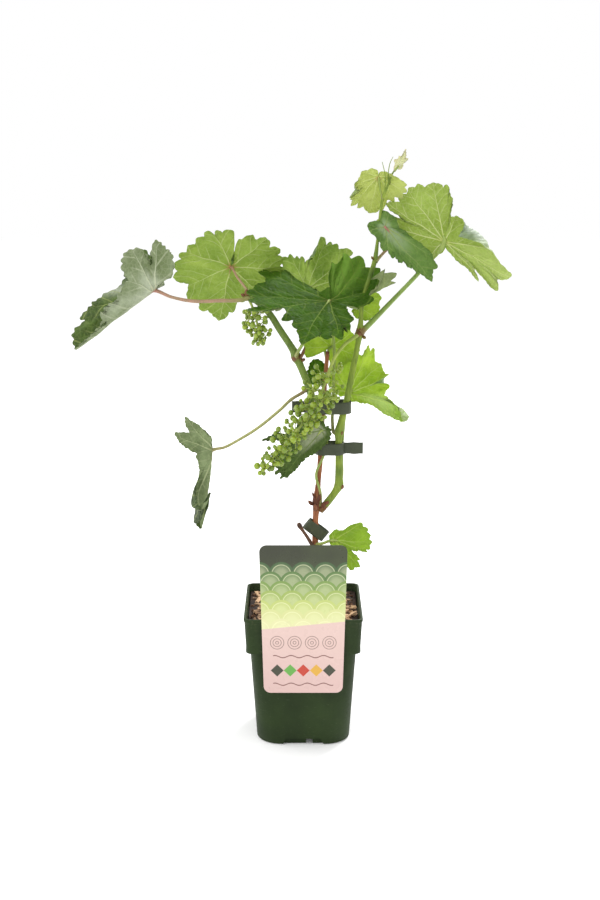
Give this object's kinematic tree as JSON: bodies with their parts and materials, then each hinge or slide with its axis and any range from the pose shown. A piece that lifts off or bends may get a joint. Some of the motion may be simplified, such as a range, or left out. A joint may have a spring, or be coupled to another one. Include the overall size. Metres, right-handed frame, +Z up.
{
  "type": "potted young grapevine",
  "caption": "Young grapevine with lobed leaves and unripe bunches on tied shoots, growing in a square nursery pot with a picture card over its rim.",
  "frame": {"origin": "middle of the pot's flat underside", "axes": "+Z up, -Y to the front where the card hangs, +X to the right seen from the front"},
  "size_m": [0.3963, 0.1886, 0.5485],
  "materials": {
    "pot_plastic": "satin dark green moulded plastic",
    "soil": "dark peat soil with brown bark chips",
    "card": "thin printed plastic card",
    "old_wood": "reddish brown peeling bark",
    "green_wood": "smooth green shoot with fine ridges",
    "tape": "dull dark green tying tape",
    "leaf": "veined leaf, glossy above and pale below",
    "berries": "smooth unripe green berries"
  },
  "bodies": {
    "root": {"pot": "pot_plastic", "soil": "soil", "card": "card", "cane": "old_wood", "dead_twig": "old_wood", "shoot_right": "green_wood", "shoot_left": "green_wood", "tie_low": "tape", "tie_middle": "tape", "tie_top": "tape", "leaf_far_left": "leaf", "leaf_left": "leaf", "leaf_centre": "leaf", "leaf_upper": "leaf", "leaf_small": "leaf", "leaf_middle": "leaf", "leaf_right": "leaf", "leaf_dark": "leaf", "leaf_behind_bunch": "leaf", "leaf_hanging": "leaf", "leaf_low": "leaf", "leaf_top": "leaf", "leaf_tip": "leaf", "leaf_big_right": "leaf", "leaf_flap": "leaf", "leaf_back": "leaf", "bunch_large": "berries", "bunch_small": "berries"}
  },
  "joints": []
}
